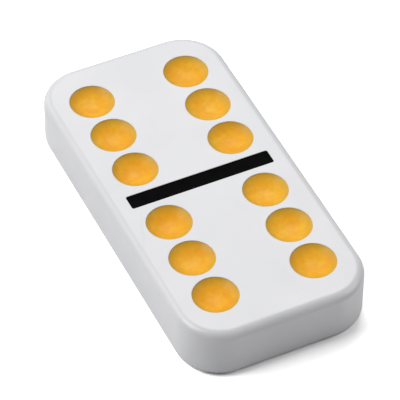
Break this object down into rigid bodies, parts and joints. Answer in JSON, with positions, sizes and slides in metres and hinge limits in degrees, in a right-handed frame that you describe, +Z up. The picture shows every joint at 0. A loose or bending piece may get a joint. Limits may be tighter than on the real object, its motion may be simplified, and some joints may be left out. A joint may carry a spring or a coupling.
{
  "type": "domino tile",
  "caption": "Domino tile: a rounded white moulded block with round yellow enamel pips in dimples on both halves and a black dividing bar in a groove.",
  "frame": {"origin": "centre of the flat underside, on the surface that the tile lies on", "axes": "+Z up through the marked face, +Y along the tile, +X across it"},
  "size_m": [0.0248, 0.05, 0.0075],
  "materials": {
    "white_moulding": "cool white moulded resin, polished, with fine handling scratches",
    "yellow_enamel": "glossy yellow-orange enamel that lines a dimple",
    "black_enamel": "glossy black enamel, a little below the face"
  },
  "bodies": {
    "root": {"tile_body": "white_moulding", "pip_upper_left_outer": "yellow_enamel", "pip_upper_left_middle": "yellow_enamel", "pip_upper_left_inner": "yellow_enamel", "pip_upper_right_outer": "yellow_enamel", "pip_upper_right_middle": "yellow_enamel", "pip_upper_right_inner": "yellow_enamel", "pip_lower_left_inner": "yellow_enamel", "pip_lower_left_middle": "yellow_enamel", "pip_lower_left_outer": "yellow_enamel", "pip_lower_right_inner": "yellow_enamel", "pip_lower_right_middle": "yellow_enamel", "pip_lower_right_outer": "yellow_enamel", "divider_fill": "black_enamel"}
  },
  "joints": []
}
